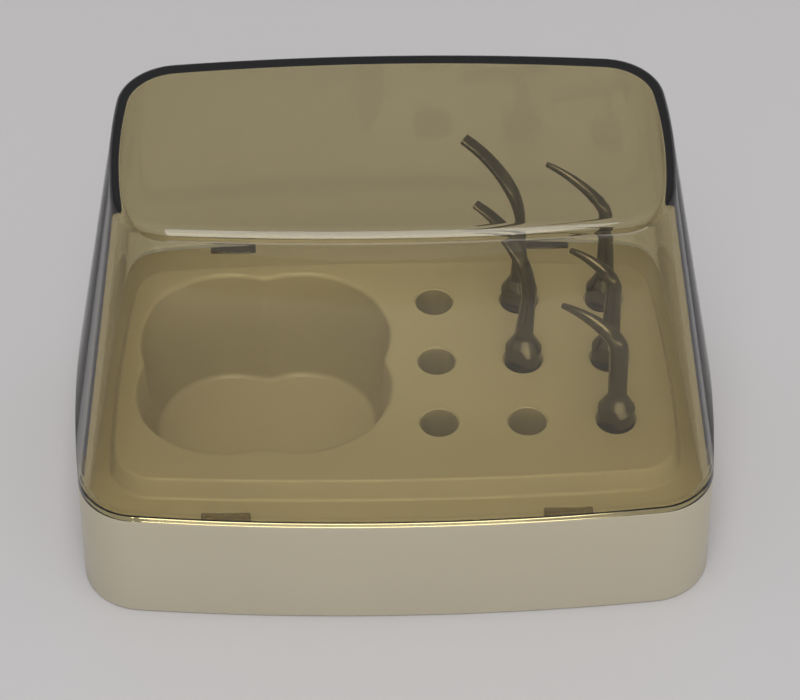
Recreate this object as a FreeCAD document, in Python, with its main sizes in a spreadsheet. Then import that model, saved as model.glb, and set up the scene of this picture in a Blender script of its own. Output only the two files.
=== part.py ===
import FreeCAD, Part
import Sketcher
import math
import os

# Box for ultrasonic scaler tips: a moulded base tray, a clear lid that lifts off, and five steel tips.
# Millimetres. X runs to the right, Y to the back, Z up. The origin is the centre of the base's foot on the table.

Vector = FreeCAD.Vector
LEVEL_TOLERANCE = 0.01
SAME_VOLUME = 1e-6
SECTION_STEP = 1.8
doc = FreeCAD.newDocument("tip_box")
sheet = doc.addObject("Spreadsheet::Sheet", "sizes")

# Driving sizes of the base tray
BASE_SIZES = {
    "rim_height": 19.1,
    "rim_half_width": 45.9,
    "rim_half_depth": 30.75,
    "rim_corner": 8.5,
    "foot_flare": 0.3,
    "foot_tuck": 0.55,
    "foot_corner": 9.0,
    "side_bow": 2.3,
    "front_bow": 2.7,
    "base_wall": 1.8,
    "deck_plate": 1.8,
    "deck_rise": 2.9,
    "ledge_side": 5.4,
    "ledge_front": 6.55,
    "ledge_back": 9.45,
    "deck_corner": 6.0,
    "deck_side_bow": 1.6,
    "deck_front_bow": 1.5,
    "deck_draft": 0.7,
    "deck_edge_radius": 0.8,
}

# Driving sizes of the four-lobed well and the cup that hangs round it
WELL_SIZES = {
    "well_inset": 27.1,
    "well_y": 0.3,
    "well_lobe_offset": 5.2,
    "well_lobe_radius": 13.2,
    "well_draft": 2.0,
    "well_strip": 2.6,
    "well_cusp_radius": 3.0,
    "well_floor_height": 3.0,
    "well_floor_plate": 1.6,
    "well_wall": 1.6,
    "well_edge_radius": 0.8,
    "well_floor_radius": 0.8,
}

# Driving sizes of the nine sockets
SOCKET_SIZES = {
    "grid_inset": 27.15,
    "grid_y": -0.3,
    "grid_pitch": 12.5,
    "socket_diameter": 5.5,
    "socket_depth": 10.0,
    "socket_wall": 1.3,
    "socket_floor": 1.4,
}

# Driving sizes of the lid
LID_SIZES = {
    "lid_gap": 0.1,
    "lid_height": 61.0,
    "lid_side_taper": 7.4,
    "lid_front_taper": 14.15,
    "lid_back_taper": 8.45,
    "lid_corner": 8.8,
    "lid_side_bow": 1.5,
    "lid_front_bow": 1.7,
    "lid_back_bow": 2.0,
    "lid_wall": 1.5,
    "lid_crown": 2.8,
    "lid_inner_crown_share": 0.75,
}

# Driving sizes of the four snap lugs on the lid and their slots in the base's ledge
LUG_SIZES = {
    "lug_x": 23.75,
    "lug_width": 6.5,
    "lug_thickness": 1.75,
    "lug_above_rim": 2.2,
    "lug_below_rim": 2.8,
    "lug_sink": 0.4,
    "slot_clearance": 0.3,
    "slot_extra_depth": 0.6,
}

# Driving sizes that all five tips share
TIP_SIZES = {
    "shank_clearance": 0.12,
    "collar_height": 2.6,
    "cone_height": 2.3,
    "stem_diameter": 2.7,
    "flat_distance": 4.3,
    "flat_start": 0.5,
    "thread_diameter": 2.6,
    "thread_depth": 5.5,
    "outlet_diameter": 0.45,
    "outlet_depth": 1.5,
}

# Sizes that follow from others. Whatever keeps its distance from the rim is tied to the rim here
DERIVED_SIZES = {
    "foot_half_width": "=rim_half_width + foot_flare",
    "foot_half_depth": "=rim_half_depth - foot_tuck",
    "deck_half_width": "=rim_half_width - ledge_side",
    "deck_front": "=rim_half_depth - ledge_front",
    "deck_back": "=rim_half_depth - ledge_back",
    "well_x": "=well_inset - rim_half_width",
    "well_lobe_rise": "=deck_back - well_strip - well_y - well_lobe_radius",
    "grid_x": "=rim_half_width - grid_inset",
    "lid_half_width": "=rim_half_width - lid_side_taper",
    "lid_front": "=rim_half_depth - lid_front_taper",
    "lid_back": "=rim_half_depth - lid_back_taper",
}

# Each tip: column and row in the grid, which way its end points, the slant of its stem, where the bend starts above
# the deck, the radius and end angle of a first tight bend and of the long curve after it, and three sections:
# width is across the plane of the bend and depth is in it.
TIPS = {
    "chisel_tip_back": {
        "column": 0, "row": 1, "turn": 60.0, "slant": 1.0, "stem_height": 12.8,
        "bend_radius": 13.5, "bend_angle": 30.0, "curve_radius": 14.5, "curve_angle": 66.0,
        "neck_width": 2.0, "neck_depth": 1.2, "middle_width": 2.2, "middle_depth": 1.1,
        "end_width": 1.4, "end_depth": 0.6,
    },
    "chisel_tip_middle": {
        "column": 0, "row": 0, "turn": 60.0, "slant": -4.0, "stem_height": 12.2,
        "bend_radius": 12.5, "bend_angle": 32.0, "curve_radius": 13.5, "curve_angle": 70.0,
        "neck_width": 2.4, "neck_depth": 2.0, "middle_width": 2.4, "middle_depth": 1.3,
        "end_width": 1.5, "end_depth": 0.6,
    },
    "pointed_tip_back": {
        "column": 1, "row": 1, "turn": 60.0, "slant": 1.5, "stem_height": 15.2,
        "bend_radius": 3.4, "bend_angle": 50.0, "curve_radius": 17.0, "curve_angle": 80.0,
        "neck_width": 2.1, "neck_depth": 2.1, "middle_width": 1.8, "middle_depth": 1.8,
        "end_width": 0.8, "end_depth": 0.8,
    },
    "pointed_tip_middle": {
        "column": 1, "row": 0, "turn": 60.0, "slant": 0.0, "stem_height": 13.6,
        "bend_radius": 3.2, "bend_angle": 58.0, "curve_radius": 11.0, "curve_angle": 88.0,
        "neck_width": 2.2, "neck_depth": 2.2, "middle_width": 1.8, "middle_depth": 1.8,
        "end_width": 0.8, "end_depth": 0.8,
    },
    "pointed_tip_front": {
        "column": 1, "row": -1, "turn": 60.0, "slant": 1.0, "stem_height": 13.2,
        "bend_radius": 3.4, "bend_angle": 60.0, "curve_radius": 14.0, "curve_angle": 91.0,
        "neck_width": 2.7, "neck_depth": 2.7, "middle_width": 2.3, "middle_depth": 2.3,
        "end_width": 0.8, "end_depth": 0.8,
    },
}


def fill_sheet():
    """Writes every driving size to the sheet, one row each, with its name as the cell's alias."""
    groups = [BASE_SIZES, WELL_SIZES, SOCKET_SIZES, LID_SIZES, LUG_SIZES, TIP_SIZES, DERIVED_SIZES]
    groups += [{f"{name}_{key}": size for key, size in tip.items()} for name, tip in TIPS.items()]
    row = 1
    for group in groups:
        for name, size in group.items():
            sheet.set(f"A{row}", name)
            sheet.set(f"B{row}", str(size))
            sheet.setAlias(f"B{row}", name)
            row += 1
    doc.recompute()


def value(formula):
    """The value of a formula in the sheet's aliases, for the first guess of a sketch's geometry."""
    return float(sheet.evalExpression(formula.replace("sizes.", "")))


fill_sheet()


def new_body(label):
    body = doc.addObject("PartDesign::Body", label)
    body.Label = label
    return body


def origin_plane(body, role):
    return next(part for part in body.Origin.OriginFeatures if part.Role == role)


def new_sketch(body, name, role="XY_Plane", height=None):
    """A sketch on one of the body's own planes, moved along the plane's normal by a formula."""
    sketch = body.newObject("Sketcher::SketchObject", name)
    sketch.AttachmentSupport = [(origin_plane(body, role), "")]
    sketch.MapMode = "FlatFace"
    if height is not None:
        sketch.setExpression("AttachmentOffset.Base.z", height)
    return sketch


def arc(centre, radius, start, end):
    """Arc of a circle, counter-clockwise from one point to another."""
    first = math.atan2(start[1] - centre[1], start[0] - centre[0])
    last = math.atan2(end[1] - centre[1], end[0] - centre[0])
    if last < first:
        last += 2 * math.pi
    circle = Part.Circle(Vector(centre[0], centre[1], 0), Vector(0, 0, 1), radius)
    return Part.ArcOfCircle(circle, first, last)


def dimension(sketch, kind, *arguments, formula):
    """Adds a named-size constraint whose value follows a formula in the sheet."""
    index = sketch.addConstraint(Sketcher.Constraint(kind, *arguments, value(formula)))
    sketch.setExpression(f"Constraints[{index}]", formula)


def circle_meeting(first, second, radius, toward):
    """Centre of the rounding circle inside two large circles, given as (centre, radius) each."""
    (x1, y1), r1 = first
    (x2, y2), r2 = second
    r1, r2 = r1 - radius, r2 - radius
    gap = math.hypot(x2 - x1, y2 - y1)
    along = (r1 * r1 - r2 * r2 + gap * gap) / (2 * gap)
    across = math.sqrt(r1 * r1 - along * along)
    ux, uy = (x2 - x1) / gap, (y2 - y1) / gap
    spots = [(x1 + along * ux - side * across * uy, y1 + along * uy + side * across * ux) for side in (1, -1)]
    return max(spots, key=lambda spot: spot[0] * toward[0] + spot[1] * toward[1])


def touching(big, small_centre):
    """Point where a rounding circle touches the large circle round it."""
    (x, y), radius = big
    gap = math.hypot(small_centre[0] - x, small_centre[1] - y)
    return (x + (small_centre[0] - x) / gap * radius, y + (small_centre[1] - y) / gap * radius)


def bowed_outline(body, name, height, half_width, front, back, side_bow, front_bow, back_bow, corner):
    """A closed outline of four gently bowed sides and four round corners. Every size is a formula."""
    sketch = new_sketch(body, name, height=height)
    span = f"({half_width} - {side_bow})"
    rise = f"(({front} + {back} - {front_bow} - {back_bow}) / 2)"
    middle = f"(({back} - {back_bow} - {front} + {front_bow}) / 2)"
    side_radius = f"(({rise}^2 + {side_bow}^2) / (2 * {side_bow}))"
    front_radius = f"(({span}^2 + {front_bow}^2) / (2 * {front_bow}))"
    back_radius = f"(({span}^2 + {back_bow}^2) / (2 * {back_bow}))"
    radii = [front_radius, side_radius, back_radius, side_radius]
    side_reach = value(side_radius) - value(half_width)
    centres = [
        (0, value(front_radius) - value(front)),
        (-side_reach, value(middle)),
        (0, value(back) - value(back_radius)),
        (side_reach, value(middle)),
    ]
    sides = [(centre, value(radius)) for centre, radius in zip(centres, radii)]
    quarters = [(1, -1), (1, 1), (-1, 1), (-1, -1)]
    corner_radius = value(corner)
    corners = [
        circle_meeting(sides[k], sides[(k + 1) % 4], corner_radius, quarters[k]) for k in range(4)
    ]
    for k in range(4):
        centre, radius = sides[k]
        start = touching(sides[k], corners[k - 1])
        end = touching(sides[k], corners[k])
        sketch.addGeometry(arc(centre, radius, start, end), False)
        sketch.addGeometry(arc(corners[k], corner_radius, end, touching(sides[(k + 1) % 4], corners[k])), False)
    for k in range(8):
        sketch.addConstraint(Sketcher.Constraint("Tangent", k, 2, (k + 1) % 8, 1))
    for k in (0, 4):
        sketch.addConstraint(Sketcher.Constraint("PointOnObject", k, 3, -2))
    for k, radius in enumerate(radii):
        dimension(sketch, "Radius", 2 * k, formula=radius)
        dimension(sketch, "Radius", 2 * k + 1, formula=corner)
    dimension(sketch, "DistanceY", -1, 1, 0, 3, formula=f"{front_radius} - {front}")
    dimension(sketch, "DistanceY", 4, 3, -1, 1, formula=f"{back_radius} - {back}")
    dimension(sketch, "DistanceX", 2, 3, -1, 1, formula=f"{side_radius} - {half_width}")
    dimension(sketch, "DistanceX", -1, 1, 6, 3, formula=f"{side_radius} - {half_width}")
    if front == back:
        for k in (2, 6):
            sketch.addConstraint(Sketcher.Constraint("PointOnObject", k, 3, -1))
    else:
        for k in (2, 6):
            dimension(sketch, "DistanceY", -1, 1, k, 3, formula=middle)
    return sketch


def lobed_outline(body, name, height, lobe_radius):
    """Four overlapping round lobes about the well's centre, blended by a small hollow arc between lobes."""
    sketch = new_sketch(body, name, height=height)
    x, y = value("sizes.well_x"), value("sizes.well_y")
    offset, rise = value("sizes.well_lobe_offset"), value("sizes.well_lobe_rise")
    radius = value(lobe_radius)
    blend = value("sizes.well_cusp_radius")
    reach_x = offset + math.sqrt((radius + blend) ** 2 - rise ** 2)
    reach_y = rise + math.sqrt((radius + blend) ** 2 - offset ** 2)
    lobes = [(x + sx * offset, y + sy * rise) for sx, sy in ((1, -1), (1, 1), (-1, 1), (-1, -1))]
    hollows = [(x + reach_x, y), (x, y + reach_y), (x - reach_x, y), (x, y - reach_y)]

    def meeting(lobe, hollow):
        share = radius / (radius + blend)
        return (lobe[0] + (hollow[0] - lobe[0]) * share, lobe[1] + (hollow[1] - lobe[1]) * share)

    for k in range(4):
        start, end = meeting(lobes[k], hollows[k - 1]), meeting(lobes[k], hollows[k])
        sketch.addGeometry(arc(lobes[k], radius, start, end), False)
        following = meeting(lobes[(k + 1) % 4], hollows[k])
        sketch.addGeometry(arc(hollows[k], blend, following, end), False)
    for k in range(4):
        lobe, hollow, following = 2 * k, 2 * k + 1, (2 * k + 2) % 8
        sketch.addConstraint(Sketcher.Constraint("Tangent", lobe, 2, hollow, 2))
        sketch.addConstraint(Sketcher.Constraint("Tangent", hollow, 1, following, 1))
        dimension(sketch, "Radius", lobe, formula=lobe_radius)
        dimension(sketch, "Radius", hollow, formula="sizes.well_cusp_radius")
    signs = ((1, -1), (1, 1), (-1, 1), (-1, -1))
    for k, (sx, sy) in enumerate(signs):
        place(sketch, 2 * k, 3, f"sizes.well_x + {sx} * sizes.well_lobe_offset",
              f"sizes.well_y + {sy} * sizes.well_lobe_rise")
    return sketch


def place(sketch, geometry, point, x, y):
    """Fixes a point of a sketch at two formulas, on whichever side of the origin they fall."""
    for kind, formula in (("DistanceX", x), ("DistanceY", y)):
        if value(formula) >= 0:
            dimension(sketch, kind, -1, 1, geometry, point, formula=formula)
        else:
            dimension(sketch, kind, geometry, point, -1, 1, formula=f"-({formula})")


def loft(body, name, sections, cut=False):
    feature = body.newObject("PartDesign::SubtractiveLoft" if cut else "PartDesign::AdditiveLoft", name)
    feature.Profile = sections[0]
    feature.Sections = sections[1:]
    feature.Ruled = len(sections) == 2
    finish_feature(body, feature)
    return feature


def extrude(body, name, sketch, length, cut=False, reverse=False):
    feature = body.newObject("PartDesign::Pocket" if cut else "PartDesign::Pad", name)
    feature.Profile = sketch
    feature.setExpression("Length", length)
    feature.Reversed = reverse
    finish_feature(body, feature)
    return feature


def finish_feature(body, feature):
    """Makes a feature the body's last one and stops if it failed or changed nothing."""
    before = body.Shape.Volume if not body.Shape.isNull() else 0.0
    body.Tip = feature
    doc.recompute()
    shape = feature.Shape
    if not feature.isValid() or shape.isNull() or not shape.isValid() or shape.Volume <= 0:
        raise RuntimeError(f"{body.Label}: {feature.Name} failed: {feature.State}")
    if abs(shape.Volume - before) < SAME_VOLUME:
        raise RuntimeError(f"{body.Label}: {feature.Name} changed nothing")
    for sketch in feature.OutList:
        if sketch.TypeId == "Sketcher::SketchObject":
            sketch.Visibility = False


def fillet(body, name, edge_test, radius):
    """Rounds every edge of the body's last feature that the test picks."""
    base = body.Tip
    names = [f"Edge{k + 1}" for k, edge in enumerate(base.Shape.Edges) if edge_test(edge)]
    if not names:
        raise RuntimeError(f"{body.Label}: no edges for {name}")
    feature = body.newObject("PartDesign::Fillet", name)
    feature.Base = (base, names)
    feature.setExpression("Radius", radius)
    finish_feature(body, feature)
    return feature


def at_height(height, inside=None):
    """Edge test: the whole edge lies at one height, and inside a box (x0, x1, y0, y1) where one is given."""
    def test(edge):
        first, last = edge.ParameterRange
        spots = [edge.valueAt(first + share * (last - first)) for share in (0, 0.5, 1)]
        if any(abs(spot.z - height) > LEVEL_TOLERANCE for spot in spots):
            return False
        return inside is None or (inside[0] < spots[1].x < inside[1] and inside[2] < spots[1].y < inside[3])
    return test


# Formulas that more than one piece uses
DECK_TOP = "(sizes.rim_height + sizes.deck_rise)"
SOCKET_OUTSIDE = "(sizes.socket_diameter + 2 * sizes.socket_wall)"


def grid_place(column, row):
    """Formulas for a socket's centre: column and row are -1, 0 or 1 from the middle of the grid."""
    return (f"sizes.grid_x + ({column}) * sizes.grid_pitch", f"sizes.grid_y + ({row}) * sizes.grid_pitch")


def grid_circles(body, name, height, diameter):
    """Nine circles, one on each place of the grid."""
    sketch = new_sketch(body, name, height=height)
    for column in (-1, 0, 1):
        for row in (-1, 0, 1):
            x, y = grid_place(column, row)
            centre = Vector(value(x), value(y), 0)
            index = sketch.addGeometry(Part.Circle(centre, Vector(0, 0, 1), value(diameter) / 2), False)
            dimension(sketch, "Diameter", index, formula=diameter)
            place(sketch, index, 3, x, y)
    return sketch


def deck_outline(body, name, height, grow):
    """The raised deck's outline, made larger or smaller all round by a formula."""
    return bowed_outline(
        body, name, height,
        half_width=f"(sizes.deck_half_width + {grow})",
        front=f"(sizes.deck_front + {grow})",
        back=f"(sizes.deck_back + {grow})",
        side_bow="sizes.deck_side_bow", front_bow="sizes.deck_front_bow", back_bow="sizes.deck_front_bow",
        corner=f"(sizes.deck_corner + {grow})",
    )


def foot_outline(body, name, height, shrink):
    depth = f"(sizes.foot_half_depth - {shrink})"
    return bowed_outline(
        body, name, height, f"(sizes.foot_half_width - {shrink})", depth, depth,
        "sizes.side_bow", "sizes.front_bow", "sizes.front_bow", f"(sizes.foot_corner - {shrink})",
    )


def rim_outline(body, name, height, shrink_side="0", shrink_front="0", shrink_back="0", corner_shrink="0"):
    depth_front = f"(sizes.rim_half_depth - {shrink_front})"
    depth_back = f"(sizes.rim_half_depth - {shrink_back})"
    return bowed_outline(
        body, name, height, f"(sizes.rim_half_width - {shrink_side})", depth_front, depth_back,
        "sizes.side_bow", "sizes.front_bow", "sizes.front_bow", f"(sizes.rim_corner - {corner_shrink})",
    )


def rectangles(body, name, height, boxes, role="XY_Plane"):
    """Axis-parallel rectangles, each given by the formulas (low x, high x, low y, high y)."""
    sketch = new_sketch(body, name, role=role, height=height)
    for box in boxes:
        x0, x1, y0, y1 = [value(formula) for formula in box]
        corners = [Vector(x0, y0, 0), Vector(x1, y0, 0), Vector(x1, y1, 0), Vector(x0, y1, 0)]
        first = sketch.GeometryCount
        for k in range(4):
            sketch.addGeometry(Part.LineSegment(corners[k], corners[(k + 1) % 4]), False)
        for k in range(4):
            sketch.addConstraint(Sketcher.Constraint("Coincident", first + k, 2, first + (k + 1) % 4, 1))
            kind = "Horizontal" if k % 2 == 0 else "Vertical"
            sketch.addConstraint(Sketcher.Constraint(kind, first + k))
        place(sketch, first, 1, box[0], box[2])
        place(sketch, first + 2, 1, box[1], box[3])
    return sketch


# Lid wall slopes, sideways over upright, and what a wall of even thickness takes off the outline at any height
LID_RISE = "(sizes.lid_height - sizes.rim_height - sizes.lid_gap)"
SIDE_SLOPE = f"((sizes.rim_half_width - sizes.lid_half_width) / {LID_RISE})"
FRONT_SLOPE = f"((sizes.rim_half_depth - sizes.lid_front) / {LID_RISE})"
BACK_SLOPE = f"((sizes.rim_half_depth - sizes.lid_back) / {LID_RISE})"
SLOPES = (SIDE_SLOPE, FRONT_SLOPE, BACK_SLOPE)
RIM_LEVEL = "(sizes.rim_height + sizes.lid_gap)"
CROWN_SHARES = (0, 0.35, 0.65, 0.88, 1)


def level_thickness(thickness, slope):
    """Thickness of a sloping wall measured level."""
    return f"({thickness} * sqrt(1 + {slope}^2))"


# How far the front wall's inner face is from the middle plane where a lug stands, at the rim
LUG_BOW = "(sizes.front_bow * (sizes.lug_x / (sizes.rim_half_width - sizes.side_bow))^2)"
LUG_OUTER = f"(sizes.rim_half_depth - {LUG_BOW} - {level_thickness('sizes.lid_wall', FRONT_SLOPE)} + sizes.lug_sink)"
LUG_INNER = f"({LUG_OUTER} - sizes.lug_thickness)"


def lug_boxes(grow):
    """The four lugs seen from above, made larger all round by a formula."""
    boxes = []
    for side in (-1, 1):
        x0 = f"({side} * sizes.lug_x - sizes.lug_width / 2 - {grow})"
        x1 = f"({side} * sizes.lug_x + sizes.lug_width / 2 + {grow})"
        boxes.append((x0, x1, f"(-{LUG_OUTER} - {grow})", f"(-{LUG_INNER} + {grow})"))
        boxes.append((x0, x1, f"({LUG_INNER} - {grow})", f"({LUG_OUTER} + {grow})"))
    return boxes


def make_base_tray():
    """One moulding: tapered bowed wall, ledge, raised deck, hollow underside, cup and sockets."""
    body = new_body("base_tray")
    foot = foot_outline(body, "foot_outline", "0", "0")
    rim = rim_outline(body, "rim_outline", "sizes.rim_height")
    loft(body, "outer_block", [foot, rim])

    deck_foot = deck_outline(body, "deck_foot_outline", "sizes.rim_height", "sizes.deck_draft")
    deck_top = deck_outline(body, "deck_top_outline", DECK_TOP, "0")
    loft(body, "deck_block", [deck_foot, deck_top])

    hollow_foot = foot_outline(body, "hollow_foot_outline", "0", "sizes.base_wall")
    hollow_top = rim_outline(body, "hollow_top_outline", "(sizes.rim_height - sizes.deck_plate)",
                             *["sizes.base_wall"] * 4)
    loft(body, "hollow", [hollow_foot, hollow_top], cut=True)

    under_foot = deck_outline(body, "deck_under_foot_outline", "(sizes.rim_height - sizes.deck_plate)",
                              "(sizes.deck_draft - sizes.deck_plate)")
    under_top = deck_outline(body, "deck_under_top_outline", f"({DECK_TOP} - sizes.deck_plate)",
                             "(-sizes.deck_plate)")
    loft(body, "deck_hollow", [under_foot, under_top], cut=True)

    cup_bottom = "(sizes.well_floor_height - sizes.well_floor_plate)"
    cup_foot = lobed_outline(body, "cup_foot_outline", cup_bottom,
                             "(sizes.well_lobe_radius - sizes.well_draft + sizes.well_wall)")
    cup_head = lobed_outline(body, "cup_head_outline", f"({DECK_TOP} - sizes.deck_plate / 2)",
                             "(sizes.well_lobe_radius + sizes.well_wall)")
    loft(body, "cup", [cup_foot, cup_head])

    tubes = grid_circles(body, "socket_tubes_outline", f"({DECK_TOP} - sizes.deck_plate / 2)", SOCKET_OUTSIDE)
    tube_length = "(sizes.socket_depth + sizes.socket_floor - sizes.deck_plate / 2)"
    extrude(body, "socket_tubes", tubes, tube_length, reverse=True)

    well_foot = lobed_outline(body, "well_floor_outline", "sizes.well_floor_height",
                              "(sizes.well_lobe_radius - sizes.well_draft)")
    well_head = lobed_outline(body, "well_edge_outline", DECK_TOP, "sizes.well_lobe_radius")
    loft(body, "well", [well_foot, well_head], cut=True)

    holes = grid_circles(body, "sockets_outline", DECK_TOP, "sizes.socket_diameter")
    extrude(body, "sockets", holes, "sizes.socket_depth", cut=True)

    slots = rectangles(body, "lug_slots_outline", "sizes.rim_height", lug_boxes("sizes.slot_clearance"))
    extrude(body, "lug_slots", slots, "(sizes.lug_below_rim + sizes.slot_extra_depth)", cut=True)

    deck_height = value(DECK_TOP)
    reach_x = value("sizes.well_lobe_offset + sizes.well_lobe_radius + sizes.well_draft")
    reach_y = value("sizes.well_lobe_rise + sizes.well_lobe_radius + sizes.well_draft")
    well_x, well_y = value("sizes.well_x"), value("sizes.well_y")
    well_box = (well_x - reach_x, well_x + reach_x, well_y - reach_y, well_y + reach_y)

    def deck_edge(edge):
        """At the deck's height, outside the well, and not the mouth of a socket."""
        if not at_height(deck_height)(edge) or at_height(deck_height, well_box)(edge):
            return False
        return not hasattr(edge.Curve, "Radius") or edge.Curve.Radius > value("sizes.socket_diameter")

    fillet(body, "deck_edge", deck_edge, "sizes.deck_edge_radius")
    fillet(body, "well_edge", at_height(deck_height, well_box), "sizes.well_edge_radius")
    floor_height = value("sizes.well_floor_height")
    fillet(body, "well_floor_edge", at_height(floor_height, well_box), "sizes.well_floor_radius")
    return body


def lid_outline(body, name, offset, crown, share):
    """The lid's outline at one height, as far inside the outer faces as the offset says.

    Below the rounded crown the walls are straight: a share of None gives the rim. In the crown the share runs from
    0, where the rounding leaves the walls, to 1, where it meets the flat top. Each side's rounding is an arc of its
    own radius, so that all four start at one height.
    """
    top = f"(sizes.lid_height - {offset})"
    if share is None:
        return rim_outline(body, name, RIM_LEVEL, *[level_thickness(offset, slope) for slope in SLOPES], offset)
    insets = []
    for slope in SLOPES:
        sine = f"({slope} / sqrt(1 + {slope}^2))"
        cosine = f"(1 / sqrt(1 + {slope}^2))"
        radius = f"({crown} / (1 - {sine}))"
        turned = f"({sine} + {share} * (1 - {sine}))"
        rounding = f"{radius} * ({cosine} - sqrt(1 - {turned}^2))"
        insets.append(f"({rounding} - {slope} * ({crown} + {offset}) + {level_thickness(offset, slope)})")
    side, front, back = insets
    return bowed_outline(
        body, name, f"({top} - {crown} * (1 - {share}))",
        f"(sizes.lid_half_width - {side})", f"(sizes.lid_front - {front})", f"(sizes.lid_back - {back})",
        "sizes.lid_side_bow", "sizes.lid_front_bow", "sizes.lid_back_bow",
        f"(sizes.lid_corner - {offset} - {share} * {crown})",
    )


def lid_form(body, name, offset, crown, cut=False):
    """Straight walls and a rounded crown, added or cut away."""
    rim = lid_outline(body, f"{name}_rim", offset, crown, None)
    crown_levels = [
        lid_outline(body, f"{name}_crown_{round(100 * share)}", offset, crown, share)
        for share in CROWN_SHARES
    ]
    loft(body, f"{name}_walls", [rim, crown_levels[0]], cut=cut)
    loft(body, f"{name}_crown", crown_levels, cut=cut)


def make_lid():
    """A clear shell with four sloping walls, a rounded crown, and four snap lugs inside the rim."""
    body = new_body("lid")
    lid_form(body, "outer", "0", "sizes.lid_crown")
    lid_form(body, "inner", "sizes.lid_wall", "(sizes.lid_crown - sizes.lid_wall * sizes.lid_inner_crown_share)",
             cut=True)
    lugs = rectangles(body, "lugs_outline", "(sizes.rim_height - sizes.lug_below_rim)", lug_boxes("0"))
    extrude(body, "lugs", lugs, "(sizes.lug_above_rim + sizes.lug_below_rim)")
    return body


def part_object(kind, name, **sizes):
    """A Part workbench object whose properties follow formulas in the sheet."""
    thing = doc.addObject(kind, name)
    for key, formula in sizes.items():
        thing.setExpression(key.replace("__", "."), formula)
    return thing


def combine(kind, name, base, tools):
    """Cuts tools from a base, or fuses them to it."""
    thing = doc.addObject(kind, name)
    thing.Base = base
    if len(tools) == 1:
        thing.Tool = tools[0]
    else:
        group = doc.addObject("Part::MultiFuse", f"{name}_tools")
        group.Shapes = tools
        thing.Tool = group
    return thing


def blade_section(name, place_name, path, width, depth):
    """An oval across the tip's centre line. path gives the formulas (along, up, angle) in the plane of the bend."""
    along, up, angle = path
    oval = part_object("Part::Ellipse", f"{name}_{place_name}", MajorRadius=f"{width} / 2",
                       MinorRadius=f"{depth} / 2")
    oval.Placement = FreeCAD.Placement(Vector(0, 0, 0), FreeCAD.Rotation(Vector(1, 0, 0), -1))
    oval.setExpression("Placement.Base.y", along)
    oval.setExpression("Placement.Base.z", up)
    oval.setExpression("Placement.Rotation.Angle", f"-({angle})")
    return oval


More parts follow.
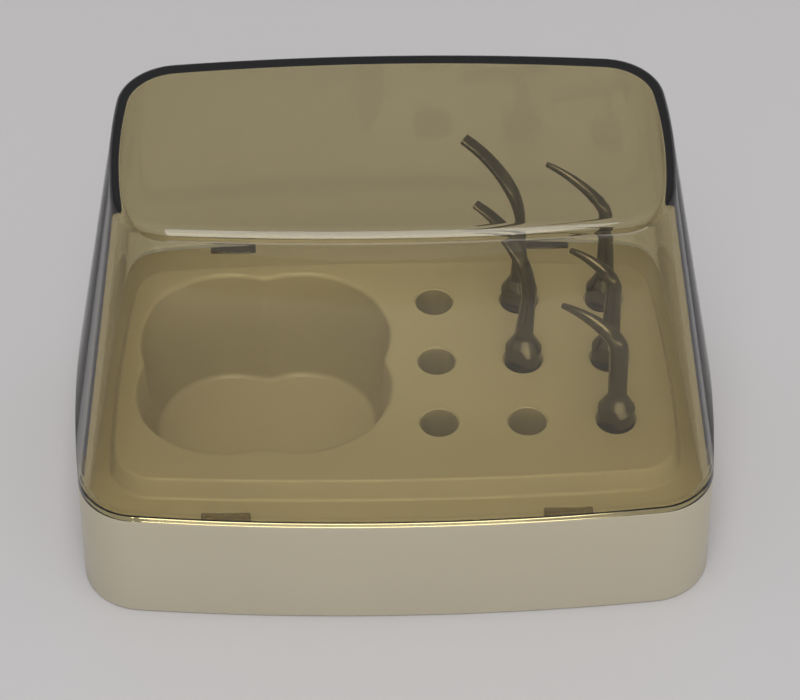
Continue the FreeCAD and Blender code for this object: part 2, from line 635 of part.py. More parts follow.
def make_tip(name):
    """A bent steel tip. It is turned at its lower end, has two wrench flats, and tapers to its free end."""

    def own(key):
        return f"sizes.{name}_{key}"

    shank_radius = "(sizes.socket_diameter / 2 - sizes.shank_clearance)"
    collar_top = "(sizes.socket_depth + sizes.collar_height)"
    cone_top = f"({collar_top} + sizes.cone_height)"
    shank = part_object("Part::Cylinder", f"{name}_shank", Radius=shank_radius, Height=collar_top)
    cone = part_object("Part::Cone", f"{name}_cone", Radius1=shank_radius, Radius2="sizes.stem_diameter / 2",
                       Height="sizes.cone_height", Placement__Base__z=collar_top)

    slant, bend, curve = [f"({own(key)} * 1deg)" for key in ("slant", "bend_angle", "curve_angle")]
    stem_top = f"(sizes.socket_depth + {own('stem_height')})"
    stem_length = f"(({stem_top} - {cone_top}) / cos({slant}))"
    stem_along = f"({stem_length} * sin({slant}))"

    def on_stem(share):
        angle = f"({share} * {slant})"
        return f"({share} * {stem_along})", f"({cone_top} + {share} * {stem_length} * cos({slant}))", angle

    def on_arc(start_along, start_up, radius, first, last):
        """Returns a function that gives the formulas for a share of one arc of the centre line."""
        def spot(share):
            angle = f"({first} + {share} * ({last} - {first}))"
            along = f"({start_along} + {radius} * (cos({first}) - cos({angle})))"
            up = f"({start_up} + {radius} * (sin({angle}) - sin({first})))"
            return along, up, angle
        return spot

    on_bend = on_arc(stem_along, stem_top, own("bend_radius"), slant, bend)
    bend_along, bend_up, _ = on_bend(1)
    on_curve = on_arc(bend_along, bend_up, own("curve_radius"), bend, curve)
    stretches = [
        ("stem", on_stem, stem_length, ["sizes.stem_diameter"] * 2, [own("neck_width"), own("neck_depth")]),
        ("bend", on_bend, f"({own('bend_radius')} * ({bend} - {slant}) * pi / 180deg)",
         [own("neck_width"), own("neck_depth")], [own("middle_width"), own("middle_depth")]),
        ("curve", on_curve, f"({own('curve_radius')} * ({curve} - {bend}) * pi / 180deg)",
         [own("middle_width"), own("middle_depth")], [own("end_width"), own("end_depth")]),
    ]
    sections = [blade_section(name, "foot", on_stem(0), *["sizes.stem_diameter"] * 2)]
    for stretch, path, length, first, last in stretches:
        count = math.ceil(value(length) / SECTION_STEP)
        for k in range(1, count + 1):
            share = k / count
            sizes = [f"({start} + {share} * ({end} - {start}))" for start, end in zip(first, last)]
            sections.append(blade_section(name, f"{stretch}_{k}", path(share), *sizes))
    blade = doc.addObject("Part::Loft", f"{name}_blade")
    blade.Sections = sections
    blade.Solid = True

    whole = doc.addObject("Part::MultiFuse", f"{name}_whole")
    whole.Shapes = [shank, cone, blade]

    flats = []
    for side in (-1, 1):
        low = "(sizes.flat_distance / 2)" if side == 1 else f"(-sizes.flat_distance / 2 - {shank_radius})"
        flats.append(part_object(
            "Part::Box", f"{name}_flat_{'right' if side == 1 else 'left'}",
            Length=shank_radius, Width=f"2 * {shank_radius}", Height="sizes.collar_height + sizes.cone_height",
            Placement__Base__x=low, Placement__Base__y=f"-{shank_radius}",
            Placement__Base__z="sizes.socket_depth + sizes.flat_start",
        ))
    thread = part_object("Part::Cylinder", f"{name}_thread_bore", Radius="sizes.thread_diameter / 2",
                         Height="sizes.thread_depth")
    end_along, end_up, end_angle = on_curve(1)
    outlet = part_object("Part::Cylinder", f"{name}_outlet", Radius="sizes.outlet_diameter / 2",
                         Height="2 * sizes.outlet_depth")
    outlet.Placement = FreeCAD.Placement(Vector(0, 0, 0), FreeCAD.Rotation(Vector(1, 0, 0), -1))
    outlet.setExpression("Placement.Base.y", f"{end_along} - sizes.outlet_depth * sin({end_angle})")
    outlet.setExpression("Placement.Base.z", f"{end_up} - sizes.outlet_depth * cos({end_angle})")
    outlet.setExpression("Placement.Rotation.Angle", f"-({end_angle})")

    tip = combine("Part::Cut", name, whole, flats + [thread, outlet])
    tip.Label = name
    x, y = grid_place(own("column"), own("row"))
    tip.Placement = FreeCAD.Placement(Vector(0, 0, 0), FreeCAD.Rotation(Vector(0, 0, 1), 1))
    tip.setExpression("Placement.Base.x", x)
    tip.setExpression("Placement.Base.y", y)
    tip.setExpression("Placement.Base.z", f"{DECK_TOP} - sizes.socket_depth")
    tip.setExpression("Placement.Rotation.Angle", f"{own('turn')} * 1deg")
    return tip


def check_document():
    """Stops if any object of the document failed to build."""
    doc.recompute()
    for thing in doc.Objects:
        if "Invalid" in thing.State or "Error" in thing.State:
            raise RuntimeError(f"{thing.Label} failed: {thing.State}")


def export(pieces):
    """Checks each finished piece and writes it to its own file."""
    os.makedirs("parts", exist_ok=True)
    for piece in pieces:
        shape = piece.Shape
        if shape.isNull() or not shape.isValid() or len(shape.Solids) != 1:
            raise RuntimeError(f"{piece.Label}: bad shape, {len(shape.Solids)} solids")
        shape.exportStep(f"parts/{piece.Label}.step")
        box = shape.BoundBox
        print(f"{piece.Label}: volume {shape.Volume:.1f}, x {box.XMin:.2f} to {box.XMax:.2f}, "
              f"y {box.YMin:.2f} to {box.YMax:.2f}, z {box.ZMin:.2f} to {box.ZMax:.2f}")


pieces = [make_base_tray(), make_lid()] + [make_tip(name) for name in TIPS]
check_document()
export(pieces)
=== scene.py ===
# %% [markdown]
# # A box for scaler tips
# A dentist's ultrasonic scaler takes small bent steel tips. This box keeps them upright: a beige moulded base with a
# lobed well and nine round sockets, five tips, and a clear, lightly smoked lid that lifts off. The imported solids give
# the sizes and the moving bodies. This lesson gives every piece its smooth surface and its finish.

import math

import bmesh
import bpy
from mathutils import Matrix, Vector


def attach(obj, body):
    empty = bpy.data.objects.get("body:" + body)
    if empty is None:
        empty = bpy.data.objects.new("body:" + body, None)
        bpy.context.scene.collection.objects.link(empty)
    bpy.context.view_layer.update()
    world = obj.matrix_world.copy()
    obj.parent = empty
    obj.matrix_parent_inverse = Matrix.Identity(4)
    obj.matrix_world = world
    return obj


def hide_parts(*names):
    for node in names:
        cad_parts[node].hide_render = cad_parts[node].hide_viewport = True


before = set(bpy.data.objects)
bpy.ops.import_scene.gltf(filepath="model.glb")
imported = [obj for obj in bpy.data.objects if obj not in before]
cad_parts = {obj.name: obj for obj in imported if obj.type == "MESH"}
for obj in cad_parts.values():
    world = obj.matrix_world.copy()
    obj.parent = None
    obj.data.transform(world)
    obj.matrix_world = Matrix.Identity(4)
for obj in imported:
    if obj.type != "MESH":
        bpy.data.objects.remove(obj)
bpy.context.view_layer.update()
MM = 0.001
print("solids:", sorted(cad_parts))

# %% [markdown]
# ## Where the camera stands
# The photograph is taken from the front and above, from about half a metre away. The outline of the box in the
# picture gave the camera's place: first its direction, then the distance that makes the far edge as much shorter as
# it looks. A long lens at that distance gives the picture's weak perspective.

# %% The camera
CAMERA_ELEVATION = math.radians(43.96)
CAMERA_YAW = math.radians(1.14)
CAMERA_ROLL = math.radians(0.13)
CAMERA_DISTANCE = 494.4 * MM
CAMERA_TARGET = Vector((1.46, 24.49, 0)) * MM
LENS_IN_PIXELS = 3192.5
PICTURE_WIDTH = 800

ahead = Vector((
    math.sin(CAMERA_YAW) * math.cos(CAMERA_ELEVATION),
    math.cos(CAMERA_YAW) * math.cos(CAMERA_ELEVATION),
    -math.sin(CAMERA_ELEVATION),
))
level = Vector((math.cos(CAMERA_YAW), -math.sin(CAMERA_YAW), 0))
upward = level.cross(ahead)
right_axis = math.cos(CAMERA_ROLL) * level - math.sin(CAMERA_ROLL) * upward
up_axis = math.sin(CAMERA_ROLL) * level + math.cos(CAMERA_ROLL) * upward

camera_data = bpy.data.cameras.new("camera")
camera_data.sensor_width = 36
camera_data.lens = LENS_IN_PIXELS * camera_data.sensor_width / PICTURE_WIDTH
camera = bpy.data.objects.new("camera", camera_data)
bpy.context.scene.collection.objects.link(camera)
turn = Matrix((right_axis, up_axis, -ahead)).transposed().to_4x4()
camera.matrix_world = Matrix.Translation(CAMERA_TARGET - ahead * CAMERA_DISTANCE) @ turn
bpy.context.scene.camera = camera
print("camera at", [round(c, 3) for c in camera.location], "lens", round(camera_data.lens, 1))

# %% [markdown]
# ## One loop for every level
# Base, deck and lid share one kind of outline: a rectangle with four gently bowed sides and four round corners.
# A circle of vertices is laid on such an outline, once for each level, and two neighbouring levels are bridged.
# Every loop has the same number of vertices in the same order, so the bridges are clean rows of four-sided faces.

# %% The bowed outline
FRONT_STEPS, SIDE_STEPS, CORNER_STEPS = 28, 18, 14


def arc_points(centre, start, end, steps):
    """Points on an arc, anticlockwise from start, without its end."""
    radius = (start - centre).length
    first = math.atan2(start.y - centre.y, start.x - centre.x)
    last = math.atan2(end.y - centre.y, end.x - centre.x)
    if last < first:
        last += 2 * math.pi
    angles = [first + (last - first) * k / steps for k in range(steps)]
    return [centre + radius * Vector((math.cos(a), math.sin(a))) for a in angles]


def circles_meet(first, second, toward):
    """The point at the given distances from two centres, on the side that toward names."""
    (c1, r1), (c2, r2) = first, second
    gap = (c2 - c1).length
    along = (r1 * r1 - r2 * r2 + gap * gap) / (2 * gap)
    across = math.sqrt(max(r1 * r1 - along * along, 0))
    unit = (c2 - c1) / gap
    spots = [c1 + unit * along + Vector((-unit.y, unit.x)) * across * side for side in (1, -1)]
    return max(spots, key=lambda spot: spot.dot(toward))


def bowed_outline(half_width, front, back, side_bow, front_bow, back_bow, corner):
    """Points of the outline, in millimetres like its sizes."""
    span = half_width - side_bow
    rise = (front + back - front_bow - back_bow) / 2
    middle = (back - back_bow - front + front_bow) / 2
    front_radius, back_radius, side_radius = [
        (half * half + bow * bow) / (2 * bow)
        for half, bow in ((span, front_bow), (span, back_bow), (rise, side_bow))
    ]
    sides = [
        (Vector((0, front_radius - front)), front_radius),
        (Vector((half_width - side_radius, middle)), side_radius),
        (Vector((0, back - back_radius)), back_radius),
        (Vector((side_radius - half_width, middle)), side_radius),
    ]
    quarters = [Vector(q) for q in ((1, -1), (1, 1), (-1, 1), (-1, -1))]
    corners = []
    for k, quarter in enumerate(quarters):
        near = [(centre, radius - corner) for centre, radius in (sides[k], sides[(k + 1) % 4])]
        corners.append(circles_meet(near[0], near[1], quarter))

    def touch(side, centre):
        return side[0] + (centre - side[0]).normalized() * side[1]

    points = []
    for k, side in enumerate(sides):
        steps = FRONT_STEPS if k % 2 == 0 else SIDE_STEPS
        start, end = touch(side, corners[k - 1]), touch(side, corners[k])
        points += arc_points(side[0], start, end, steps)
        points += arc_points(corners[k], end, touch(sides[(k + 1) % 4], corners[k]), CORNER_STEPS)
    return points


# %% Loops and bridges
def lay_loop(bm, outline, height):
    """A circle of vertices laid on an outline, at a height in millimetres."""
    loop = bmesh.ops.create_circle(bm, cap_ends=False, segments=len(outline), radius=1)["verts"]
    for vert, point in zip(loop, outline):
        vert.co = (point.x, point.y, height)
    return loop


def loop_edges(loop):
    """The edges that join a loop's own vertices."""
    own = set(loop)
    return [edge for edge in {e for vert in loop for e in vert.link_edges} if set(edge.verts) <= own]


def bridge(bm, loops):
    """Joins each loop to the next by a row of faces, with the second loop lifted for the moment of joining."""
    for here, there in zip(loops, loops[1:]):
        lift = Vector((0, 0, 2)) if abs(here[0].co.z - there[0].co.z) < 0.01 else Vector()
        bmesh.ops.translate(bm, vec=lift, verts=there)
        bmesh.ops.bridge_loops(bm, edges=loop_edges(here) + loop_edges(there))
        bmesh.ops.translate(bm, vec=-lift, verts=there)


def fill(bm, loops):
    """Closes a flat loop, around any holes that the other loops outline."""
    edges = [edge for loop in loops for edge in loop_edges(loop)]
    bmesh.ops.triangle_fill(bm, use_beauty=True, edges=edges, normal=(0, 0, 1))


def finish_piece(bm, name, body, material, node, smooth_angle=35):
    """Turns a bmesh in millimetres into a piece in metres that rides on its body."""
    bmesh.ops.recalc_face_normals(bm, faces=bm.faces[:])
    bmesh.ops.scale(bm, vec=(MM, MM, MM), verts=bm.verts[:])
    open_edges = sum(not edge.is_manifold for edge in bm.edges)
    for face in bm.faces:
        face.smooth = True
    for edge in bm.edges:
        edge.smooth = edge.is_manifold and edge.calc_face_angle(0) < math.radians(smooth_angle)
    mesh = bpy.data.meshes.new(name)
    bm.to_mesh(mesh)
    bm.free()
    piece = bpy.data.objects.new(name, mesh)
    bpy.context.scene.collection.objects.link(piece)
    mesh.materials.append(material)
    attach(piece, body)
    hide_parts(node)
    print(name, len(mesh.polygons), "faces,", open_edges, "open edges")


def quarter_turn(radius, steps, start=0.0):
    """Steps round a quarter circle from a wall to a flat: how far in from the wall, how far from the flat."""
    angles = [math.radians(start + (90 - start) * k / steps) for k in range(steps + 1)]
    return [(radius * (1 - math.cos(a)), radius * (1 - math.sin(a))) for a in angles]


# %% [markdown]
# ## Moulded beige plastic
# The base is moulded in an opaque beige plastic with a satin face. A very fine grain breaks the gloss, and the colour
# drifts a little over the width of the piece. The grain is a node group, because the steel uses it too, at its own
# scale. The group gives a colour and a height, and the shader stays in the material.

# %% A shared grain group
grain = bpy.data.node_groups.new("surface_grain", "ShaderNodeTree")


def group_socket(name, kind, way, value=None):
    """One named input or output of the group, with the value an input starts from."""
    socket = grain.interface.new_socket(name=name, in_out=way, socket_type=kind)
    if value is not None:
        socket.default_value = value


group_socket("Vector", "NodeSocketVector", "INPUT")
group_socket("Color", "NodeSocketColor", "INPUT", (0.5, 0.5, 0.5, 1))
group_socket("Shade", "NodeSocketColor", "INPUT", (0.4, 0.4, 0.4, 1))
group_socket("Drift Scale", "NodeSocketFloat", "INPUT", 30.0)
group_socket("Grain Scale", "NodeSocketFloat", "INPUT", 3000.0)
group_socket("Color", "NodeSocketColor", "OUTPUT")
group_socket("Height", "NodeSocketFloat", "OUTPUT")
g_in, g_out = grain.nodes.new("NodeGroupInput"), grain.nodes.new("NodeGroupOutput")
g_drift, g_grain = grain.nodes.new("ShaderNodeTexNoise"), grain.nodes.new("ShaderNodeTexNoise")
g_drift.inputs["Detail"].default_value = 3
g_grain.inputs["Detail"].default_value = 2
g_mix = grain.nodes.new("ShaderNodeMix")
g_mix.data_type = "RGBA"
for source, target in (
    (g_in.outputs["Vector"], g_drift.inputs["Vector"]),
    (g_in.outputs["Vector"], g_grain.inputs["Vector"]),
    (g_in.outputs["Drift Scale"], g_drift.inputs["Scale"]),
    (g_in.outputs["Grain Scale"], g_grain.inputs["Scale"]),
    (g_drift.outputs["Fac"], g_mix.inputs[0]),
    (g_in.outputs["Color"], g_mix.inputs[6]),
    (g_in.outputs["Shade"], g_mix.inputs[7]),
    (g_mix.outputs[2], g_out.inputs["Color"]),
    (g_grain.outputs["Fac"], g_out.inputs["Height"]),
):
    grain.links.new(source, target)
print("grain group:", len(grain.nodes), "nodes")


def new_material(name):
    """A material, its node tree and its Principled shader."""
    material = bpy.data.materials.new(name)
    material.use_nodes = True
    return material, material.node_tree, material.node_tree.nodes["Principled BSDF"]


BUMP_STRENGTH = 0.5


def add_grain(tree, shader, color, shade, drift_scale, grain_scale, bump_height=0.00001):
    """Places the grain group: its colour goes to the shader, its height through a bump."""
    place = tree.nodes.new("ShaderNodeTexCoord")
    group = tree.nodes.new("ShaderNodeGroup")
    group.node_tree = grain
    group.inputs["Color"].default_value = (*color, 1)
    group.inputs["Shade"].default_value = (*shade, 1)
    group.inputs["Drift Scale"].default_value = drift_scale
    group.inputs["Grain Scale"].default_value = grain_scale
    bump = tree.nodes.new("ShaderNodeBump")
    bump.inputs["Distance"].default_value = bump_height
    bump.inputs["Strength"].default_value = BUMP_STRENGTH
    tree.links.new(place.outputs["Object"], group.inputs["Vector"])
    tree.links.new(group.outputs["Color"], shader.inputs["Base Color"])
    tree.links.new(group.outputs["Height"], bump.inputs["Height"])
    tree.links.new(bump.outputs["Normal"], shader.inputs["Normal"])


# %% Beige plastic
BEIGE, BEIGE_SHADE = (0.475, 0.43, 0.315), (0.435, 0.39, 0.285)
beige, beige_tree, beige_shader = new_material("beige_moulded_plastic")
add_grain(beige_tree, beige_shader, BEIGE, BEIGE_SHADE, drift_scale=28.0, grain_scale=2600.0)
beige_shader.inputs["Roughness"].default_value = 0.3
print(beige.name, "drifts from", BEIGE, "to", BEIGE_SHADE)

# %% [markdown]
# ## The base
# The base is one shell with a hollow underside. Its surface is followed as on a section through the mould: from the
# inner edge of the deck's underside out to the wall, down to the foot, round it, up the outer wall, over the flat
# ledge that the lid stands on, and up to the deck. Each corner on the way gets its own small radius.

# %% Outlines of the base at any height
RIM_HEIGHT, DECK_TOP = 19.1, 22.0
BASE_WALL, DECK_PLATE, DECK_SKIRT, DECK_DRAFT = 1.8, 1.8, 0.9, 0.7
FOOT_HALF_WIDTH, FOOT_HALF_DEPTH, FOOT_CORNER = 46.2, 30.2, 9.0
RIM_NARROWER, RIM_DEEPER, RIM_CORNER_SMALLER = 0.3, 0.55, 0.5
SIDE_BOW, FRONT_BOW = 2.3, 2.7
DECK_HALF_WIDTH, DECK_FRONT, DECK_BACK, DECK_CORNER = 40.5, 24.2, 21.3, 6.0
DECK_SIDE_BOW, DECK_FRONT_BOW = 1.6, 1.5


def wall_outline(height, inset):
    """The base's tapered wall: from the foot's sizes to the rim's."""
    share = height / RIM_HEIGHT
    half_width = FOOT_HALF_WIDTH - RIM_NARROWER * share - inset
    depth = FOOT_HALF_DEPTH + RIM_DEEPER * share - inset
    corner = FOOT_CORNER - RIM_CORNER_SMALLER * share - inset
    return bowed_outline(half_width, depth, depth, SIDE_BOW, FRONT_BOW, FRONT_BOW, corner)


def deck_outline(grow):
    """The raised deck's edge, grown outwards or, with a minus, shrunk."""
    return bowed_outline(
        DECK_HALF_WIDTH + grow, DECK_FRONT + grow, DECK_BACK + grow,
        DECK_SIDE_BOW, DECK_FRONT_BOW, DECK_FRONT_BOW, DECK_CORNER + grow,
    )


print("foot", 2 * FOOT_HALF_WIDTH, "by", 2 * FOOT_HALF_DEPTH, "mm, ledge at", RIM_HEIGHT, "and deck at", DECK_TOP)

# %% The base's shell
base = bmesh.new()
under_plate, under_deck = RIM_HEIGHT - DECK_PLATE, DECK_TOP - DECK_PLATE
RIM_ROUND, FOOT_ROUND, DECK_ROUND, DECK_FOOT_ROUND = 0.12, 0.4, 0.55, 0.55

wall = [
    lay_loop(base, deck_outline(-DECK_SKIRT), under_deck),
    lay_loop(base, deck_outline(DECK_DRAFT - DECK_SKIRT), under_plate),
    lay_loop(base, wall_outline(under_plate, BASE_WALL), under_plate),
    lay_loop(base, wall_outline(0, BASE_WALL), 0),
]
for inward, away in reversed(quarter_turn(FOOT_ROUND, 4)):
    wall.append(lay_loop(base, wall_outline(away, inward), away))
for inward, away in quarter_turn(RIM_ROUND, 5):
    wall.append(lay_loop(base, wall_outline(RIM_HEIGHT - away, inward), RIM_HEIGHT - away))
bridge(base, wall)

deck = []
for away, inward in quarter_turn(DECK_FOOT_ROUND, 4):
    deck.append(lay_loop(base, deck_outline(DECK_DRAFT + inward), RIM_HEIGHT + away))
for inward, away in quarter_turn(DECK_ROUND, 6, start=14):
    deck.append(lay_loop(base, deck_outline(-inward), DECK_TOP - away))
bridge(base, deck)
print("wall loops:", len(wall), "deck loops:", len(deck))

# %% [markdown]
# ### Slots on the ledge
# The lid's snap lugs go down into four narrow slots in the ledge. Each slot is a small pocket with a mouth in the
# ledge's plane, and one call then fills the flat ledge between the wall, the deck and the four mouths.

# %% Slots for the lid's lugs
LUG_X, LUG_Y, LUG_SIZE, LUG_BOTTOM = 23.75, 27.9, (6.5, 1.75, 2.85), 16.3
SLOT_CLEARANCE, SLOT_FLOOR, SLOT_CUT, SLOT_EDGE = 0.15, 16.1, 0.25, 0.08


def slot_outline(centre, grow):
    """A small rectangle with cut corners, anticlockwise."""
    half_x, half_y = [size / 2 + SLOT_CLEARANCE + grow for size in LUG_SIZE[:2]]
    spots = []
    for sx, sy in ((1, -1), (1, 1), (-1, 1), (-1, -1)):
        pair = [(sx * half_x, sy * (half_y - SLOT_CUT)), (sx * (half_x - SLOT_CUT), sy * half_y)]
        spots += pair if sx * sy > 0 else pair[::-1]
    return [Vector((centre[0] + x, centre[1] + y)) for x, y in spots]


slot_mouths = []
for side_x in (-1, 1):
    for side_y in (-1, 1):
        centre = (side_x * LUG_X, side_y * LUG_Y)
        pocket = [
            lay_loop(base, slot_outline(centre, grow), height)
            for grow, height in ((SLOT_EDGE, RIM_HEIGHT), (0, RIM_HEIGHT - SLOT_EDGE), (0, SLOT_FLOOR))
        ]
        bridge(base, pocket)
        fill(base, [pocket[-1]])
        slot_mouths.append(pocket[0])
fill(base, [wall[-1], deck[0], *slot_mouths])
print(len(slot_mouths), "slots,", round(RIM_HEIGHT - SLOT_FLOOR, 2), "mm deep")

# %% [markdown]
# ### Well and sockets
# The well is four overlapping round lobes, with a small hollow arc where two of them meet. The sockets stand in a
# three by three grid. Each has a loop of its own in the deck's plane, and one call fills the flat deck between them.
# The same is done on the underside, where the well's cup and the socket tubes hang down.

# %% The lobed well
WELL_CENTRE = Vector((-18.8, 0.3))
WELL_RADIUS, WELL_DRAFT, WELL_FLOOR = 13.2, 2.0, 3.0
WELL_ROUND, WELL_FLOOR_ROUND = 0.7, 0.8
LOBE_OFFSET, CUSP_RADIUS = 5.2, 3.0
LOBE_STEPS, CUSP_STEPS = 24, 10


def well_outline(lobe_radius):
    """The four-lobed outline, anticlockwise from the front right lobe."""
    diagonals = [Vector(q) * LOBE_OFFSET for q in ((1, -1), (1, 1), (-1, 1), (-1, -1))]
    reach = LOBE_OFFSET + math.sqrt((lobe_radius + CUSP_RADIUS) ** 2 - LOBE_OFFSET ** 2)
    hollows = [Vector(q) * reach for q in ((1, 0), (0, 1), (-1, 0), (0, -1))]
    share = lobe_radius / (lobe_radius + CUSP_RADIUS)
    points = []
    for k, lobe in enumerate(diagonals):
        start, end = [lobe + (hollows[j] - lobe) * share for j in (k - 1, k)]
        following = diagonals[(k + 1) % 4]
        next_start = following + (hollows[k] - following) * share
        points += arc_points(lobe, start, end, LOBE_STEPS)
        points += [end] + arc_points(hollows[k], next_start, end, CUSP_STEPS)[:0:-1]
    return [WELL_CENTRE + point for point in points]


def well_radius_at(height):
    """The lobes' radius at a height: the well narrows downwards, so that the mould lets go."""
    return WELL_RADIUS - WELL_DRAFT * (DECK_TOP - height) / (DECK_TOP - WELL_FLOOR)


well = []
for inward, away in reversed(quarter_turn(WELL_ROUND, 6)):
    well.append(lay_loop(base, well_outline(well_radius_at(DECK_TOP - away) + inward), DECK_TOP - away))
for inward, away in quarter_turn(WELL_FLOOR_ROUND, 7):
    height = WELL_FLOOR + away
    well.append(lay_loop(base, well_outline(well_radius_at(height) - inward), height))
bridge(base, well)
fill(base, [well[-1]])
print("well:", len(well), "loops of", len(well[0]), "vertices,", DECK_TOP - WELL_FLOOR, "mm deep")

# %% The sockets
GRID_X, GRID_Y, PITCH = 18.75, -0.3, 12.5
SOCKET_RADIUS, SOCKET_DEPTH, SOCKET_EDGE, SOCKET_STEPS = 2.75, 10.0, 0.2, 40
SOCKET_ROUND = ((SOCKET_EDGE, 0), (0.14, 0.14), (0, SOCKET_EDGE))
GRID = {
    (column, row): (GRID_X + column * PITCH, GRID_Y + row * PITCH)
    for column in (-1, 0, 1) for row in (-1, 0, 1)
}


def circle_outline(centre, radius):
    """A socket's or a tube's round outline."""
    angles = [2 * math.pi * k / SOCKET_STEPS for k in range(SOCKET_STEPS)]
    return [Vector((centre[0] + radius * math.cos(a), centre[1] + radius * math.sin(a))) for a in angles]


mouths = []
for centre in GRID.values():
    socket = [
        lay_loop(base, circle_outline(centre, SOCKET_RADIUS + inward), DECK_TOP - away)
        for inward, away in SOCKET_ROUND
    ]
    socket.append(lay_loop(base, circle_outline(centre, SOCKET_RADIUS), DECK_TOP - SOCKET_DEPTH))
    bridge(base, socket)
    fill(base, [socket[-1]])
    mouths.append(socket[0])
fill(base, [deck[-1], well[0], *mouths])
print(len(mouths), "sockets,", PITCH, "mm apart")

# %% The underside: cup and tubes
CUP_WALL, CUP_FLOOR, CUP_EDGE = 1.1, 1.6, 0.4
TUBE_WALL, TUBE_FLOOR, TUBE_EDGE = 1.3, 1.4, 0.3
cup_end, cup_radius = WELL_FLOOR - CUP_FLOOR, well_radius_at(WELL_FLOOR) + CUP_WALL
cup = [
    lay_loop(base, well_outline(well_radius_at(under_deck) + CUP_WALL), under_deck),
    lay_loop(base, well_outline(cup_radius), cup_end + CUP_EDGE),
    lay_loop(base, well_outline(cup_radius - CUP_EDGE), cup_end),
]
bridge(base, cup)
fill(base, [cup[-1]])
tube_mouths = []
tube_end = DECK_TOP - SOCKET_DEPTH - TUBE_FLOOR
for centre in GRID.values():
    tube = [
        lay_loop(base, circle_outline(centre, SOCKET_RADIUS + TUBE_WALL - inward), height)
        for inward, height in ((0, under_deck), (0, tube_end + TUBE_EDGE), (TUBE_EDGE, tube_end))
    ]
    bridge(base, tube)
    fill(base, [tube[-1]])
    tube_mouths.append(tube[0])
fill(base, [wall[0], cup[0], *tube_mouths])
finish_piece(base, "base_moulding", "base", beige, "base_tray")

# %% [markdown]
# ## The lid
# The lid is a thin box without a floor. Its four walls lean inwards and meet the flat top in a rounded crown. It is
# modelled as a real wall, outside and inside, because light bends at both faces: that is what makes the bright line
# at the crown and the dark line round the edges.
#
# The lowest millimetre of the walls, the skirt, stands nearly upright. Light that enters it is thrown back by the
# flat end of the wall and shows as a bright line along the rim. The last quarter millimetre of the inner face flares
# out and keeps its light inside the wall, which gives the thin dark line above the bright one.

# %% Sizes of the lid
LID_RIM, LID_TOP, LID_WALL = 19.2, 61.0, 1.5
# half width, front and back, each measured from the middle
RIM_SIZES, TOP_SIZES = (45.9, 30.75, 30.75), (38.5, 16.6, 21.3)
# how far the sides, the front and the back bow outwards, and the corners' radius
LID_RIM_BOWS, LID_TOP_BOWS = (2.3, 2.7, 2.7), (1.5, 1.7, 2.0)
LID_RIM_CORNER, LID_TOP_CORNER, CORNER_TIGHTENING = 8.5, 8.8, 0.9
SKIRT, SKIRT_LEAN = 0.95, 0.08
FLARE_HEIGHT, FLARE_LEAN = 0.24, 0.3
LID_SLOPES = [
    (rim - top - SKIRT_LEAN * SKIRT) / (LID_TOP - LID_RIM - SKIRT) for rim, top in zip(RIM_SIZES, TOP_SIZES)
]
OUTER_CROWNS, INNER_CROWNS = (0.6, 1.5, 0.6), (0.2, 0.5, 0.2)
print("the lid's walls lean in by", [round(slope, 3) for slope in LID_SLOPES], "mm per mm")


# %% Outlines of the lid
def crown_inset(slope, crown, rise):
    """How far a rounded crown leaves its sloping wall, at a rise above the crown's foot."""
    if rise <= 0:
        return 0
    sine, cosine = slope / math.hypot(1, slope), 1 / math.hypot(1, slope)
    turned = sine + rise / crown * (1 - sine)
    return crown / (1 - sine) * (cosine - math.sqrt(max(0, 1 - turned * turned))) - slope * rise


SKIRT_STEPS, WALL_STEPS, LEVEL_GAP = 4, 4, 0.2


def between_rim_and_top(rim, top, height):
    """A size on its even way from the lid's rim to its top."""
    return rim + (top - rim) * (height - LID_RIM) / (LID_TOP - LID_RIM)


def lid_heights(top, crown, crown_steps):
    """The levels of the loops: close together in the skirt and in the crown, far apart in between."""
    wall_foot = LID_RIM + SKIRT + 2 * LEVEL_GAP
    heights = [LID_RIM + SKIRT * k / SKIRT_STEPS for k in range(SKIRT_STEPS + 1)] + [LID_RIM + SKIRT + LEVEL_GAP]
    heights += [wall_foot + (top - crown - wall_foot) * k / WALL_STEPS for k in range(WALL_STEPS + 1)]
    quarter = math.pi / 2
    return heights + [top - crown + crown * math.sin(quarter * k / crown_steps) for k in range(1, crown_steps + 1)]


def lid_loops(bm, offset, crowns, crown_steps):
    """Loops from the rim to the flat top, on the outer face or as far inside it as the offset says."""
    top, flare_lean = LID_TOP - offset, FLARE_LEAN if offset else 0
    loops = []
    for height in lid_heights(top, max(crowns), crown_steps):
        rise = height - LID_RIM
        sizes = [
            rim - SKIRT_LEAN * min(rise, SKIRT) - slope * max(0, rise - SKIRT)
            + flare_lean * max(0, FLARE_HEIGHT - rise)
            - offset * math.hypot(1, slope) - crown_inset(slope, crown, height - top + crown)
            for rim, slope, crown in zip(RIM_SIZES, LID_SLOPES, crowns)
        ]
        bows = [between_rim_and_top(rim, top_bow, height) for rim, top_bow in zip(LID_RIM_BOWS, LID_TOP_BOWS)]
        corner = between_rim_and_top(LID_RIM_CORNER, LID_TOP_CORNER, height) - offset
        corner -= CORNER_TIGHTENING * max(0, min(crowns) + height - top)
        loops.append(lay_loop(bm, bowed_outline(*sizes, *bows, corner), height))
    return loops


# %% [markdown]
# ### Smoked clear plastic
# The lid is clear plastic with a brown smoke through its whole thickness. A colour on the faces would tint every part
# alike, but the real wall is darker where light goes a longer way through it. Volume Absorption does that: it takes
# a share of the light for every millimetre inside the mesh.

